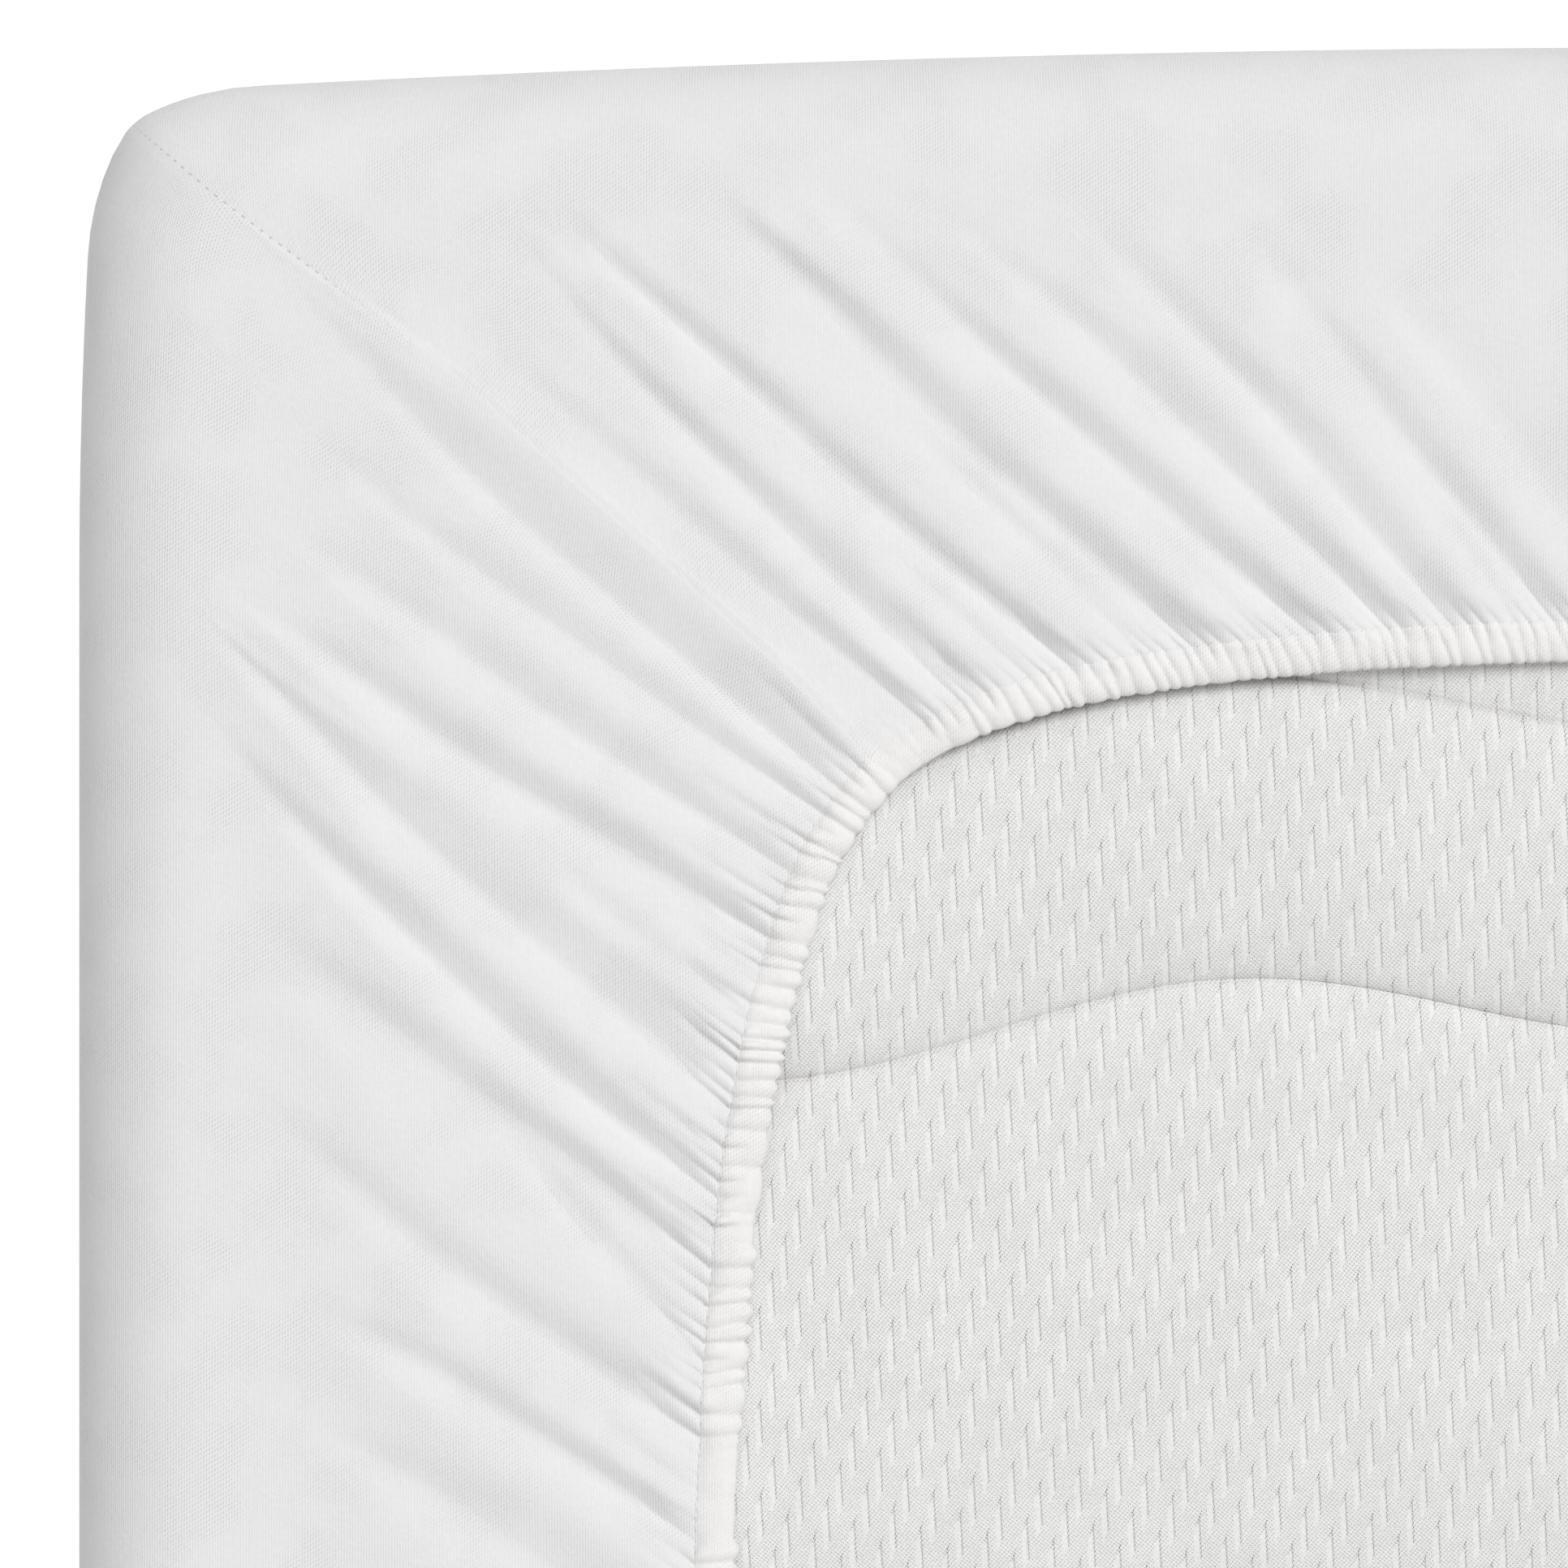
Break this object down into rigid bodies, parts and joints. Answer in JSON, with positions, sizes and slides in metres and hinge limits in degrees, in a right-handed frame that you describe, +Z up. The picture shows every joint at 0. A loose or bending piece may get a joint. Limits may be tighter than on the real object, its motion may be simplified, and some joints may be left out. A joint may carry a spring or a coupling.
{
  "type": "fitted sheet on a mattress",
  "caption": "White brushed-cotton fitted sheet on a plain quilted mattress, underside up, its skirt drawn in by a gathered elastic hem.",
  "frame": {"origin": "middle of the footprint, on the surface it rests on", "axes": "+Y along the mattress's length, +X across its width, +Z up out of the face that the gathered hem frames"},
  "size_m": [0.907, 2.007, 0.1676],
  "materials": {
    "sheet_cotton": "matt, brushed",
    "mattress_ticking": "matt, knitted"
  },
  "bodies": {
    "root": {"sheet": "sheet_cotton", "mattress": "mattress_ticking"}
  },
  "joints": []
}
